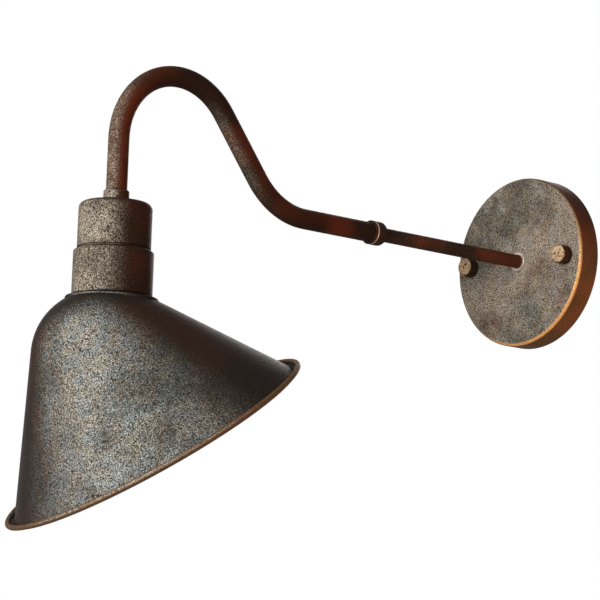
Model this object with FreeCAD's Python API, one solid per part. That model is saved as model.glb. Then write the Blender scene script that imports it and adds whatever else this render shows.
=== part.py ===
import FreeCAD, Part
import math
import os

# Gooseneck wall sconce with an angled metal shade.
#
# The origin is the centre of the canopy's back, on the wall. +Z is up, the arm reaches
# out from the wall along -Y, and +X is to the right for someone who faces the wall.
# Sizes are in millimetres and angles in degrees.

os.makedirs("parts", exist_ok=True)

# ---------------------------------------------------------------- fits
THREAD_PLAY = 0.05         # radial, between a thread and what screws on it
HOLE_PLAY = 0.2            # radial, between a screw or a tube and a plain hole
SEAT_PLAY = 0.03           # radial, in a brazed or pressed seat
TURN_PLAY = 0.1            # radial, between the turning shade and its spigot
TURN_GAP = 0.3             # along the axis, each side of the turning shade

# ---------------------------------------------------------------- canopy and wall bracket
CANOPY_DIAMETER = 125.0
CANOPY_DEPTH = 18.0
CANOPY_SHEET = 1.5
CANOPY_CORNER = 2.6        # outside radius between the face and the side
STUD_SPACING = 95.0        # the two cap nuts, left and right of the rod
STUD_DIAMETER = 4.0
STUD_GRIP = 6.0            # thread inside the cap nut
CAP_NUT_DIAMETER = 13.5
CAP_NUT_HEIGHT = 9.0
CAP_NUT_EDGE = 1.6         # radius of its rounded end
CAP_NUT_FLOOR = 2.2        # metal left over the blind thread
STUD_NUT_WIDTH = 7.0       # across the flats
STUD_NUT_HEIGHT = 3.2

BRACKET_LENGTH = 112.0
BRACKET_WIDTH = 18.0
BRACKET_THICKNESS = 2.0
BRACKET_HUB_DIAMETER = 40.0
CABLE_HOLE_DIAMETER = 18.0
WALL_SLOT_SPACING = 60.0   # the two slots for the wall screws
WALL_SLOT_WIDTH = 4.5
WALL_SLOT_LENGTH = 14.0
TAB_WIDTH = 24.0           # the tongue that carries the terminal block
TAB_DROP = 42.0            # from the rod's axis to the tongue's lower end
TAB_CORNER = 3.0
EARTH_SCREW_DIAMETER = 4.0
EARTH_SCREW_ANGLE = 45.0   # place on the hub, up from the right

# ---------------------------------------------------------------- terminal block
BLOCK_TOP = 20.0           # below the rod's axis
BLOCK_LENGTH = 18.0
POLE_SPACING = 13.0
BARREL_DIAMETER = 8.4      # one moulded barrel for each pole
TOWER_DIAMETER = 5.6       # moulded guard round each screw
TOWER_HEIGHT = 10.0        # above the bracket
TOWER_SPACING = 10.0
BLOCK_WEB = 3.0            # thickness of the web between the barrels
INSERT_DIAMETER = 5.0
INSERT_BORE = 3.0
INSERT_LENGTH = 15.0
POLE_SCREW_DIAMETER = 2.6
BLOCK_SCREW_DIAMETER = 2.6

# ---------------------------------------------------------------- threaded tube and coupler
THREAD_DIAMETER = 10.0     # lighting thread, 1 mm pitch, outside size
THREAD_BORE = 8.0
ROD_TAIL = 0.6             # the rod's open end past the canopy's nut
ROD_FRONT = 165.0          # its screwed end inside the coupler
COUPLER_FACE = 159.0       # where the coupler parts, from the wall
COUPLER_DIAMETER = 17.0
COUPLER_NUT_LENGTH = 7.5
COUPLER_NUT_NOSE = 12.8    # small diameter of the nut's tapered nose
COUPLER_NUT_TAPER = 3.2
COUPLER_COLLAR_LENGTH = 8.0
COUPLER_RING_DIAMETER = 16.4
COUPLER_RING_THICKNESS = 1.0
FERRULE_DIAMETER = 14.0    # bright ring round the rod on the canopy
FERRULE_THICKNESS = 1.4
WASHER_DIAMETER = 18.0
WASHER_THICKNESS = 1.0
NUT_WIDTH = 14.0           # hexagon nuts of the tube, across the flats
NUT_HEIGHT = 3.0

# ---------------------------------------------------------------- gooseneck
TUBE_DIAMETER = 14.0
TUBE_WALL = 1.0
HEAD_REACH = 395.0         # from the wall to the head's vertical axis
ARCH_RADIUS = 50.0         # centre line of the arch over the head
BEND_RADIUS = 57.0         # centre line of the lower bend
SLOPE_ANGLE = 51.0         # of the straight stretch between them
LEG_TOP = 29.0             # where the leg runs into the arch, above the rod's axis
SPIGOT_LENGTH = 10.0       # of a collar's spigot inside the tube
COLLAR_FLOOR = 2.0         # metal between a collar's face and the tube's end

# ---------------------------------------------------------------- head
HEAD_DROP = 14.5           # the socket cup's top, below the rod's axis
NECK_COLLAR_HEIGHT = 9.5
NECK_COLLAR_CHAMFER = 1.6
CUP_DIAMETER = 48.4
CUP_HEIGHT = 30.0
CUP_WALL = 1.8
CUP_CORNER = 5.5
FITTER_DIAMETER = 52.8
FITTER_HEIGHT = 31.5
FITTER_WALL = 1.8
FITTER_SHOULDER = 2.5      # height of its conical top
FITTER_FLOOR = 2.2
FITTER_THREAD_HEIGHT = 6.0 # its thread inside the cup
EDGE_BREAK = 0.5           # chamfer on turned edges
NIPPLE_TOP = 8.0           # thread of the nipple inside the neck collar
NIPPLE_TAIL = 0.6          # nipple below the last nut
HEAD_NUT_HEIGHT = 3.5

# ---------------------------------------------------------------- lampholder
STRAP_THICKNESS = 1.5
STRAP_WIDTH = 12.0
STRAP_SPAN = 24.0          # outside its two legs
STRAP_FOOT_SPAN = 37.0
STRAP_DROP = 16.0          # from the top of the web to the sole of the feet
STRAP_BEND = 2.0           # outside radius of its bends
HOLDER_SCREW_SPACING = 30.6
HOLDER_SCREW_DIAMETER = 3.0
HOLDER_SCREW_LENGTH = 8.0
HOLDER_DIAMETER = 39.2
HOLDER_HEIGHT = 46.0
HOLDER_CORNER = 1.5
HOLDER_WEB_TOP = 10.0      # depth of the terminal pockets
HOLDER_WEB = 6.0           # porcelain between the pockets and the lamp's cavity
TERMINAL_WIDTH = 8.0
TERMINAL_DEPTH = 7.0
TERMINAL_HEIGHT = 8.0
TERMINAL_SPACING = 24.6
TERMINAL_SCREW_DIAMETER = 3.0
RIVET_DIAMETER = 2.0
LIVE_RIVET_PLACE = 9.8     # from the head's axis
NEUTRAL_RIVET_PLACE = 12.8
SHELL_SHEET = 0.4
SHELL_FLANGE = 1.6         # width of its inner flange
SHELL_SHORT = 2.0          # how far its mouth stays inside the porcelain
CONTACT_SHEET = 0.5
CONTACT_WIDTH = 6.0
CONTACT_RISE = 1.6         # of the spring tongue over its base
CONTACT_OVERHANG = 3.0     # of the tongue past the head's axis

# ---------------------------------------------------------------- lamp
LAMP_DIAMETER = 60.0
LAMP_LENGTH = 107.0        # from the contact to the end of the globe
LAMP_CAP_DIAMETER = 26.5
LAMP_CAP_LENGTH = 27.0     # with insulator and contact
LAMP_GLASS = 1.0
LAMP_THREAD_PLAY = 0.3
LAMP_CONTACT_DIAMETER = 9.0
LAMP_CONTACT_HEIGHT = 1.2
LAMP_INSULATOR_HEIGHT = 3.0
LAMP_CAP_SHEET = 0.5

# ---------------------------------------------------------------- shade
SHADE_DIAMETER = 222.0     # over the rolled rim
SHADE_HALF_ANGLE = 35.0    # between the cone's side and the shade's axis
SHADE_TILT = 35.0          # between the shade's axis and the vertical
SHADE_TURN = 12.0          # of the shade round the head, as set in use
SHADE_SHEET = 1.0
CROWN_RADIUS = 43.0        # round shoulder over the cone
CROWN_FLAT = 8.0           # flat left in the middle of the crown
CROWN_SETBACK = 6.1        # of the crown's centre, away from the wall
SEAT_HEIGHT = 36.7         # from the crown's centre to the seat
SEAT_DIAMETER = 61.0       # raised level seat under the fitter
SEAT_SKIRT = 7.0           # depth of the seat's side before it is trimmed by the crown
SEAT_EDGE = 0.9            # radius of the seat's edge
RIM_RADIUS = 2.8           # inside the rolled rim
RIM_LIP = 1.2              # straight lip at the rim's end
SPIGOT_DIAMETER = 44.0     # thread under the fitter that carries the shade
SPIGOT_WALL = 1.4
GASKET_DIAMETER = 49.0
GASKET_THICKNESS = 0.7
CLAMP_DIAMETER = 55.0
CLAMP_HEIGHT = 5.0
CLAMP_GRIPS = 12
CLAMP_GRIP_DIAMETER = 4.0
CLAMP_SPARE_THREAD = 2.0   # spigot left under the clamp ring

# ---------------------------------------------------------------- wiring
FLEX_DIAMETER = 5.8
CORE_DIAMETER = 1.8
CORE_OFFSET = 1.3          # of each core from the flex's axis
BUSH_FLANGE = 1.0
BUSH_SLEEVE = 4.0
BUSH_FLANGE_DIAMETER = 9.4
BEND_SHARE = 0.45          # of the shorter run that a core's bend may take

# ---------------------------------------------------------------- frames
VECTOR = FreeCAD.Vector
ORIGIN = VECTOR(0, 0, 0)
RIGHT = VECTOR(1, 0, 0)
OUT = VECTOR(0, -1, 0)     # away from the wall
UP = VECTOR(0, 0, 1)
DOWN = VECTOR(0, 0, -1)
HEAD = OUT * HEAD_REACH    # where the head's axis crosses the height of the rod


def radians(angle):
    return math.radians(angle)


# ---------------------------------------------------------------- basic forms
def rounded_wire(corners, place):
    """Closed outline through (a, b) or (a, b, radius) corners, put in space by place(a, b)."""
    count = len(corners)
    starts = []
    ends = []
    middles = []
    for index in range(count):
        here = VECTOR(corners[index][0], corners[index][1], 0)
        before = VECTOR(corners[index - 1][0], corners[index - 1][1], 0)
        after = VECTOR(corners[(index + 1) % count][0], corners[(index + 1) % count][1], 0)
        radius = corners[index][2] if len(corners[index]) > 2 else 0
        if radius == 0:
            starts.append(here)
            ends.append(here)
            middles.append(None)
            continue
        to_before = (before - here).normalize()
        to_after = (after - here).normalize()
        half = to_before.getAngle(to_after) / 2
        reach = radius / math.tan(half)
        bisector = (to_before + to_after).normalize()
        starts.append(here + to_before * reach)
        ends.append(here + to_after * reach)
        middles.append(here + bisector * (radius / math.sin(half) - radius))
    edges = []
    for index in range(count):
        if middles[index] is not None:
            points = [place(p.x, p.y) for p in (starts[index], middles[index], ends[index])]
            edges.append(Part.Arc(*points).toShape())
        head = place(ends[index].x, ends[index].y)
        tail_point = starts[(index + 1) % count]
        tail = place(tail_point.x, tail_point.y)
        if head.distanceToPoint(tail) > 1e-6:
            edges.append(Part.LineSegment(head, tail).toShape())
    return Part.Wire(edges)


def turned(corners, base, axis, side=RIGHT):
    """Turned piece: corners are (radius, distance along the axis[, corner radius])."""
    wire = rounded_wire(corners, lambda r, h: base + side * r + axis * h)
    return Part.Face(wire).revolve(base, axis, 360)


def ring(inner, outer, start, end, base, axis):
    """Plain ring or tube between two diameters and two distances along the axis."""
    outside = Part.makeCylinder(outer / 2, end - start, base + axis * start, axis)
    if inner == 0:
        return outside
    return outside.cut(Part.makeCylinder(inner / 2, end - start, base + axis * start, axis))


def hexagon_nut(width, bore, start, height, base, axis, side):
    """Hexagon nut with its corners turned off on the free end."""
    corner = width / math.sqrt(3)
    across = axis.cross(side)
    points = []
    for step in range(7):
        angle = radians(60 * step)
        points.append(base + axis * start + (side * math.cos(angle) + across * math.sin(angle)) * corner)
    body = Part.Face(Part.makePolygon(points)).extrude(axis * height)
    chamfer = corner - width / 2
    cone = turned([(0, start), (corner, start), (corner, start + height - chamfer),
                   (width / 2, start + height), (0, start + height)], base, axis, side)
    hole = Part.makeCylinder(bore / 2, height, base + axis * start, axis)
    return body.common(cone).cut(hole)


def screw(diameter, head_diameter, head_height, length, seat, axis):
    """Pan-head screw: its head stands on seat against axis, its shank runs along axis."""
    side = UP if abs(axis.z) < 0.5 else RIGHT
    edge = head_height / 2
    body = turned([(0, length), (diameter / 2, length), (diameter / 2, 0), (head_diameter / 2, 0),
                   (head_diameter / 2, -head_height, edge), (0, -head_height)], seat, axis, side)
    width = diameter / 4
    slot = Part.makeBox(head_diameter, width, head_height / 2)
    slot.translate(VECTOR(-head_diameter / 2, -width / 2, 0))
    turn = FreeCAD.Rotation(UP, axis * -1)
    slot.Placement = FreeCAD.Placement(seat - axis * (head_height / 2), turn).multiply(slot.Placement)
    return body.cut(slot)


def group(shapes):
    return shapes[0] if len(shapes) == 1 else Part.makeCompound(shapes)


def save(name, shape):
    shape.exportStep("parts/" + name + ".step")
    solids = shape.Solids
    valid = all(solid.isValid() for solid in solids)
    print("%-24s solids %d volume %9.1f valid %s" % (name, len(solids), shape.Volume, valid))


# ---------------------------------------------------------------- centre line of the arm
def slope_length():
    """Length of the straight stretch, so that the leg and the rod's axis both meet it."""
    slope = radians(SLOPE_ANGLE)
    rise = LEG_TOP + ARCH_RADIUS * math.cos(slope) - BEND_RADIUS * (1 - math.cos(slope))
    return rise / math.sin(slope)


def arm_edges(start, leg_end):
    """Centre line from a distance off the wall, over the arch, down to a depth at the head."""
    slope = radians(SLOPE_ANGLE)
    uphill = OUT * math.cos(slope) + UP * math.sin(slope)
    arch_centre = HEAD - OUT * ARCH_RADIUS + UP * LEG_TOP
    arch_top = arch_centre + UP * ARCH_RADIUS
    arch_start = arch_centre - OUT * (ARCH_RADIUS * math.sin(slope)) + UP * (ARCH_RADIUS * math.cos(slope))
    leg_top = arch_centre + OUT * ARCH_RADIUS
    bend_end = arch_start - uphill * slope_length()
    bend_centre = bend_end + (UP * math.cos(slope) - OUT * math.sin(slope)) * BEND_RADIUS
    bend_start = bend_centre - UP * BEND_RADIUS
    half = slope / 2
    bend_middle = bend_centre + (OUT * math.sin(half) - UP * math.cos(half)) * BEND_RADIUS
    return [
        Part.LineSegment(OUT * start, bend_start).toShape(),
        Part.Arc(bend_start, bend_middle, bend_end).toShape(),
        Part.LineSegment(bend_end, arch_start).toShape(),
        Part.Arc(arch_start, arch_top, leg_top).toShape(),
        Part.LineSegment(leg_top, HEAD + DOWN * leg_end).toShape(),
    ]


def swept(edges, diameter):
    """Round bar along a centre line that starts at its first edge."""
    first = edges[0]
    start = first.valueAt(first.FirstParameter)
    heading = first.tangentAt(first.FirstParameter)
    section = Part.Wire([Part.makeCircle(diameter / 2, start, heading)])
    return Part.Wire(edges).makePipeShell([section], True, False)


def core_edges(points):
    """Straight runs joined by tangent arcs, each as large as its two runs allow."""
    edges = []
    at = points[0]
    for index in range(1, len(points) - 1):
        here = points[index]
        back = points[index - 1] - here
        ahead = points[index + 1] - here
        turn = math.pi - back.getAngle(ahead)
        reach = BEND_SHARE * min(back.Length, ahead.Length)
        radius = reach / math.tan(turn / 2)
        back.normalize()
        ahead.normalize()
        bisector = (back + ahead).normalize()
        middle = here + bisector * (radius / math.cos(turn / 2) - radius)
        start = here + back * reach
        end = here + ahead * reach
        edges.append(Part.LineSegment(at, start).toShape())
        edges.append(Part.Arc(start, middle, end).toShape())
        at = end
        print("core bend radius %.2f" % radius)
    edges.append(Part.LineSegment(at, points[-1]).toShape())
    return edges


def core(points):
    edges = core_edges(points)
    solid = swept(edges, CORE_DIAMETER)
    length = sum(edge.Length for edge in edges)
    area = math.pi * CORE_DIAMETER ** 2 / 4
    print("core length %.1f volume ratio %.4f" % (length, solid.Volume / (length * area)))
    return solid


# ---------------------------------------------------------------- wall bracket and canopy
def stud_places():
    return [RIGHT * (sign * STUD_SPACING / 2) for sign in (-1, 1)]


def earth_place():
    middle = (BRACKET_HUB_DIAMETER + CABLE_HOLE_DIAMETER) / 4
    angle = radians(EARTH_SCREW_ANGLE)
    return RIGHT * (middle * math.cos(angle)) + UP * (middle * math.sin(angle))


def block_screw_place():
    return DOWN * (BLOCK_TOP + BLOCK_LENGTH / 2)


def make_wall_bracket():
    half = BRACKET_WIDTH / 2
    end = BRACKET_LENGTH / 2
    rounding = half * 0.999
    place = lambda x, z: VECTOR(x, 0, z)
    arms = Part.Face(rounded_wire([(-end, -half, rounding), (end, -half, rounding),
                                   (end, half, rounding), (-end, half, rounding)], place))
    side = TAB_WIDTH / 2
    tab = Part.Face(rounded_wire([(-side, 0), (-side, -TAB_DROP, TAB_CORNER),
                                  (side, -TAB_DROP, TAB_CORNER), (side, 0)], place))
    plate = arms.extrude(OUT * BRACKET_THICKNESS)
    plate = plate.fuse(tab.extrude(OUT * BRACKET_THICKNESS))
    plate = plate.fuse(ring(0, BRACKET_HUB_DIAMETER, 0, BRACKET_THICKNESS, ORIGIN, OUT))
    holes = [ring(0, CABLE_HOLE_DIAMETER, 0, BRACKET_THICKNESS, ORIGIN, OUT)]
    for place_of_stud in stud_places():
        holes.append(ring(0, STUD_DIAMETER + 2 * SEAT_PLAY, 0, BRACKET_THICKNESS, place_of_stud, OUT))
    holes.append(ring(0, EARTH_SCREW_DIAMETER + 2 * THREAD_PLAY, 0, BRACKET_THICKNESS, earth_place(), OUT))
    screw_hole = BLOCK_SCREW_DIAMETER + 2 * THREAD_PLAY
    holes.append(ring(0, screw_hole, 0, BRACKET_THICKNESS, block_screw_place(), OUT))
    for sign in (-1, 1):
        middle = sign * WALL_SLOT_SPACING / 2
        reach = WALL_SLOT_LENGTH / 2
        width = WALL_SLOT_WIDTH / 2
        slot = rounded_wire([(middle - reach, -width, width * 0.999), (middle + reach, -width, width * 0.999),
                             (middle + reach, width, width * 0.999), (middle - reach, width, width * 0.999)],
                            place)
        holes.append(Part.Face(slot).extrude(OUT * BRACKET_THICKNESS))
    return plate.cut(holes).removeSplitter()


def make_canopy():
    outer = CANOPY_DIAMETER / 2
    inner = outer - CANOPY_SHEET
    floor = CANOPY_DEPTH - CANOPY_SHEET
    hole = THREAD_DIAMETER / 2 + HOLE_PLAY
    pan = turned([(outer, 0), (outer, CANOPY_DEPTH, CANOPY_CORNER), (hole, CANOPY_DEPTH), (hole, floor),
                  (inner, floor, CANOPY_CORNER - CANOPY_SHEET), (inner, 0)], ORIGIN, OUT)
    for place in stud_places():
        pan = pan.cut(ring(0, STUD_DIAMETER + 2 * HOLE_PLAY, floor, CANOPY_DEPTH, place, OUT))
    return pan


def make_cap_nut(place):
    radius = CAP_NUT_DIAMETER / 2
    bore = STUD_DIAMETER / 2 + THREAD_PLAY
    end = CANOPY_DEPTH + CAP_NUT_HEIGHT
    depth = end - CAP_NUT_FLOOR
    return turned([(bore, CANOPY_DEPTH), (radius - EDGE_BREAK, CANOPY_DEPTH), (radius, CANOPY_DEPTH + EDGE_BREAK),
                   (radius, end, CAP_NUT_EDGE), (0, end), (0, depth), (bore, depth)], place, OUT)


def make_wall_end():
    studs = []
    stud_nuts = []
    cap_nuts = []
    stud_end = CANOPY_DEPTH + STUD_GRIP
    for place in stud_places():
        studs.append(ring(0, STUD_DIAMETER, 0, stud_end, place, OUT))
        stud_nuts.append(hexagon_nut(STUD_NUT_WIDTH, STUD_DIAMETER + 2 * THREAD_PLAY, BRACKET_THICKNESS,
                                     STUD_NUT_HEIGHT, place, OUT, RIGHT))
        cap_nuts.append(make_cap_nut(place))
    save("wall_bracket", make_wall_bracket())
    save("bracket_studs", group(studs))
    save("stud_nuts", group(stud_nuts))
    save("canopy", make_canopy())
    save("cap_nuts", group(cap_nuts))
    save("earth_screw", screw(EARTH_SCREW_DIAMETER, EARTH_SCREW_DIAMETER * 1.8, EARTH_SCREW_DIAMETER * 0.6,
                              BRACKET_THICKNESS, earth_place() + OUT * BRACKET_THICKNESS, OUT * -1))


# ---------------------------------------------------------------- terminal block
def pole_places():
    return [RIGHT * (sign * POLE_SPACING / 2) for sign in (-1, 1)]


def barrel_axis_out():
    return BRACKET_THICKNESS + BARREL_DIAMETER / 2


def tower_places(pole):
    middle = BLOCK_TOP + BLOCK_LENGTH / 2
    return [pole + DOWN * (middle + sign * TOWER_SPACING / 2) for sign in (-1, 1)]


def make_terminal_block():
    """Nylon strip with two barrels, four screw guards and a web for its fixing screw."""
    reach = POLE_SPACING / 2
    web_place = VECTOR(-reach, -BRACKET_THICKNESS - BLOCK_WEB, -BLOCK_TOP - BLOCK_LENGTH)
    body = Part.makeBox(POLE_SPACING, BLOCK_WEB, BLOCK_LENGTH, web_place)
    screws = []
    bores = []
    for pole in pole_places():
        start = pole + OUT * barrel_axis_out() + DOWN * BLOCK_TOP
        body = body.fuse(Part.makeCylinder(BARREL_DIAMETER / 2, BLOCK_LENGTH, start, DOWN))
        foot = start + OUT * -(BARREL_DIAMETER / 2) + RIGHT * -(BARREL_DIAMETER / 4)
        foot_box = Part.makeBox(BARREL_DIAMETER / 2, BARREL_DIAMETER / 2, BLOCK_LENGTH)
        foot_box.translate(foot + OUT * (BARREL_DIAMETER / 2) + DOWN * BLOCK_LENGTH)
        body = body.fuse(foot_box)
        bores.append(Part.makeCylinder(INSERT_DIAMETER / 2 + SEAT_PLAY, BLOCK_LENGTH, start, DOWN))
        for place in tower_places(pole):
            body = body.fuse(ring(0, TOWER_DIAMETER, barrel_axis_out(), BRACKET_THICKNESS + TOWER_HEIGHT, place, OUT))
            screws.append(ring(0, POLE_SCREW_DIAMETER + 2 * HOLE_PLAY, barrel_axis_out(),
                               BRACKET_THICKNESS + TOWER_HEIGHT, place, OUT))
    fixing = ring(0, BLOCK_SCREW_DIAMETER + 2 * HOLE_PLAY, BRACKET_THICKNESS, BRACKET_THICKNESS + BLOCK_WEB,
                  block_screw_place(), OUT)
    return body.cut(bores + screws + [fixing]).removeSplitter()


def make_terminals():
    inserts = []
    screws = []
    insert_top = BLOCK_TOP + (BLOCK_LENGTH - INSERT_LENGTH) / 2
    screw_out = barrel_axis_out() + INSERT_BORE / 2
    screw_end = BRACKET_THICKNESS + TOWER_HEIGHT - EDGE_BREAK
    for pole in pole_places():
        insert = ring(INSERT_BORE, INSERT_DIAMETER, insert_top, insert_top + INSERT_LENGTH,
                      pole + OUT * barrel_axis_out(), DOWN)
        for place in tower_places(pole):
            insert = insert.cut(ring(0, POLE_SCREW_DIAMETER + 2 * THREAD_PLAY, barrel_axis_out(),
                                     barrel_axis_out() + INSERT_DIAMETER, place, OUT))
            shank = ring(0, POLE_SCREW_DIAMETER, screw_out, screw_end, place, OUT)
            slot = Part.makeBox(POLE_SCREW_DIAMETER, EDGE_BREAK, EDGE_BREAK)
            slot.translate(place + OUT * screw_end - RIGHT * (POLE_SCREW_DIAMETER / 2) - UP * (EDGE_BREAK / 2))
            screws.append(shank.cut(slot))
        inserts.append(insert)
    save("terminal_block", make_terminal_block())
    save("terminal_inserts", group(inserts))
    save("terminal_screws", group(screws))
    seat = block_screw_place() + OUT * (BRACKET_THICKNESS + BLOCK_WEB)
    save("block_screw", screw(BLOCK_SCREW_DIAMETER, BLOCK_SCREW_DIAMETER * 1.4, BLOCK_SCREW_DIAMETER * 0.6,
                              BRACKET_THICKNESS + BLOCK_WEB, seat, OUT * -1))


# ---------------------------------------------------------------- rod, coupler and gooseneck
def tube_collar(face, length, base, axis, chamfer):
    """Collar brazed on an end of the tube: its face is at a distance along axis, the tube
    runs away from it along axis, and a spigot with the thread stands inside the tube."""
    bore = THREAD_DIAMETER / 2 + THREAD_PLAY
    outer = COUPLER_DIAMETER / 2
    tube_outer = TUBE_DIAMETER / 2 + SEAT_PLAY
    spigot = TUBE_DIAMETER / 2 - TUBE_WALL - SEAT_PLAY
    floor = face + COLLAR_FLOOR
    return turned([(bore, face), (outer - EDGE_BREAK, face), (outer, face + EDGE_BREAK),
                   (outer, face + length - chamfer), (outer - chamfer + SEAT_PLAY, face + length),
                   (tube_outer, face + length), (tube_outer, floor), (spigot, floor),
                   (spigot, floor + SPIGOT_LENGTH), (bore, floor + SPIGOT_LENGTH)], base, axis)


def cable_bush(end, base, axis):
    """Plastic bush in an open end of the threaded tube, its flange past the end along axis."""
    sleeve = THREAD_BORE / 2 - SEAT_PLAY
    bore = FLEX_DIAMETER / 2 + TURN_PLAY
    flange = BUSH_FLANGE_DIAMETER / 2
    return turned([(bore, end - BUSH_SLEEVE), (sleeve, end - BUSH_SLEEVE), (sleeve, end),
                   (flange, end), (flange, end + BUSH_FLANGE, BUSH_FLANGE / 2), (bore, end + BUSH_FLANGE)],
                  base, axis)


def head_levels():
    """Depths below the rod's axis, down the middle of the head."""
    washer = HEAD_DROP + CUP_WALL
    upper_nut = washer + WASHER_THICKNESS
    strap = upper_nut + HEAD_NUT_HEIGHT
    lower_nut = strap + STRAP_THICKNESS
    nipple_end = lower_nut + HEAD_NUT_HEIGHT + NIPPLE_TAIL
    holder = strap + STRAP_DROP
    return washer, upper_nut, strap, lower_nut, nipple_end, holder


def rod_back():
    return CANOPY_DEPTH - CANOPY_SHEET - WASHER_THICKNESS - NUT_HEIGHT - ROD_TAIL


def make_arm():
    nipple_end = head_levels()[4]
    floor = CANOPY_DEPTH - CANOPY_SHEET
    loose = THREAD_DIAMETER + 2 * HOLE_PLAY
    thread = THREAD_DIAMETER + 2 * THREAD_PLAY
    ferrule_edge = FERRULE_THICKNESS / 3
    save("rod_ferrule", turned([(loose / 2, CANOPY_DEPTH), (FERRULE_DIAMETER / 2, CANOPY_DEPTH),
                                (FERRULE_DIAMETER / 2, CANOPY_DEPTH + FERRULE_THICKNESS, ferrule_edge),
                                (loose / 2, CANOPY_DEPTH + FERRULE_THICKNESS)], ORIGIN, OUT))
    save("canopy_washer", ring(loose, WASHER_DIAMETER, floor - WASHER_THICKNESS, floor, ORIGIN, OUT))
    save("canopy_nut", hexagon_nut(NUT_WIDTH, thread, -(floor - WASHER_THICKNESS), NUT_HEIGHT,
                                   ORIGIN, OUT * -1, RIGHT))
    save("wall_rod", ring(THREAD_BORE, THREAD_DIAMETER, rod_back(), ROD_FRONT, ORIGIN, OUT))

    outer = COUPLER_DIAMETER / 2
    nut_front = COUPLER_FACE - COUPLER_RING_THICKNESS
    nut_back = nut_front - COUPLER_NUT_LENGTH
    save("coupler_nut", turned([(thread / 2, nut_back), (COUPLER_NUT_NOSE / 2, nut_back),
                                (outer, nut_back + COUPLER_NUT_TAPER, COUPLER_NUT_TAPER / 2),
                                (outer, nut_front - EDGE_BREAK), (outer - EDGE_BREAK, nut_front),
                                (thread / 2, nut_front)], ORIGIN, OUT))
    save("coupler_ring", ring(thread, COUPLER_RING_DIAMETER, nut_front, COUPLER_FACE, ORIGIN, OUT))
    save("coupler_collar", tube_collar(COUPLER_FACE, COUPLER_COLLAR_LENGTH, ORIGIN, OUT, EDGE_BREAK))
    save("neck_collar", tube_collar(-HEAD_DROP, NECK_COLLAR_HEIGHT, HEAD, UP, NECK_COLLAR_CHAMFER))

    tube_start = COUPLER_FACE + COLLAR_FLOOR
    tube_end = HEAD_DROP - COLLAR_FLOOR
    edges = arm_edges(tube_start, tube_end)
    tube = swept(edges, TUBE_DIAMETER).cut(swept(edges, TUBE_DIAMETER - 2 * TUBE_WALL))
    save("gooseneck_tube", tube)

    save("head_nipple", ring(THREAD_BORE, THREAD_DIAMETER, HEAD_DROP - NIPPLE_TOP, nipple_end, HEAD, DOWN))
    save("cable_bushes", group([cable_bush(-rod_back(), ORIGIN, OUT * -1), cable_bush(nipple_end, HEAD, DOWN)]))


# ---------------------------------------------------------------- head
def seam_level():
    return HEAD_DROP + CUP_HEIGHT


def fitter_level():
    return seam_level() + FITTER_HEIGHT


def seat_level():
    return fitter_level() + GASKET_THICKNESS + TURN_GAP


def clamp_level():
    return seat_level() + SHADE_SHEET + TURN_GAP


def make_head():
    washer, upper_nut, strap, lower_nut, nipple_end, holder = head_levels()
    loose = THREAD_DIAMETER / 2 + HOLE_PLAY
    outer = CUP_DIAMETER / 2
    inner = outer - CUP_WALL
    seam = seam_level()
    save("socket_cup", turned([(loose, HEAD_DROP), (outer, HEAD_DROP, CUP_CORNER), (outer, seam - EDGE_BREAK),
                               (outer - EDGE_BREAK, seam), (inner, seam), (inner, washer, CUP_CORNER - CUP_WALL),
                               (loose, washer)], HEAD, DOWN))
    save("head_washer", ring(2 * loose, WASHER_DIAMETER, washer, upper_nut, HEAD, DOWN))
    thread = THREAD_DIAMETER + 2 * THREAD_PLAY
    save("head_nuts", group([hexagon_nut(NUT_WIDTH, thread, level, HEAD_NUT_HEIGHT, HEAD, DOWN, RIGHT)
                             for level in (upper_nut, lower_nut)]))

    bottom = fitter_level()
    wide = FITTER_DIAMETER / 2
    upper_thread = inner - THREAD_PLAY
    spigot = SPIGOT_DIAMETER / 2
    bore = spigot - SPIGOT_WALL
    spigot_end = clamp_level() + CLAMP_HEIGHT + CLAMP_SPARE_THREAD
    ceiling = seam + FITTER_SHOULDER + FITTER_WALL
    save("shade_fitter", turned([
        (bore, seam - FITTER_THREAD_HEIGHT), (upper_thread, seam - FITTER_THREAD_HEIGHT), (upper_thread, seam),
        (outer - EDGE_BREAK, seam), (outer, seam + EDGE_BREAK), (wide, seam + FITTER_SHOULDER),
        (wide, bottom - EDGE_BREAK), (wide - EDGE_BREAK, bottom), (spigot, bottom), (spigot, spigot_end),
        (bore, spigot_end), (bore, bottom - FITTER_FLOOR), (wide - FITTER_WALL, bottom - FITTER_FLOOR),
        (wide - FITTER_WALL, ceiling), (bore, ceiling)], HEAD, DOWN))
    save("shade_gasket", ring(SPIGOT_DIAMETER + 2 * THREAD_PLAY, GASKET_DIAMETER, bottom,
                              bottom + GASKET_THICKNESS, HEAD, DOWN))
    save("clamp_ring", make_clamp_ring())


def make_clamp_ring():
    """Ring nut under the shade, with finger scallops round its edge."""
    level = clamp_level()
    bore = SPIGOT_DIAMETER / 2 + THREAD_PLAY
    outer = CLAMP_DIAMETER / 2
    nut = turned([(bore, level), (outer, level), (outer, level + CLAMP_HEIGHT, EDGE_BREAK),
                  (bore, level + CLAMP_HEIGHT)], HEAD, DOWN)
    scallops = []
    for step in range(CLAMP_GRIPS):
        angle = radians(360 * step / CLAMP_GRIPS)
        place = HEAD + RIGHT * (outer * math.cos(angle)) + OUT * (outer * math.sin(angle))
        scallops.append(ring(0, CLAMP_GRIP_DIAMETER, level, level + CLAMP_HEIGHT, place, DOWN))
    return nut.cut(scallops)


# ---------------------------------------------------------------- lampholder
def cavity_level():
    return head_levels()[5] + HOLDER_WEB_TOP + HOLDER_WEB


def lamp_level():
    """Depth of the lamp's contact, on the spring tongue."""
    return cavity_level() + CONTACT_RISE + CONTACT_SHEET


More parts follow.
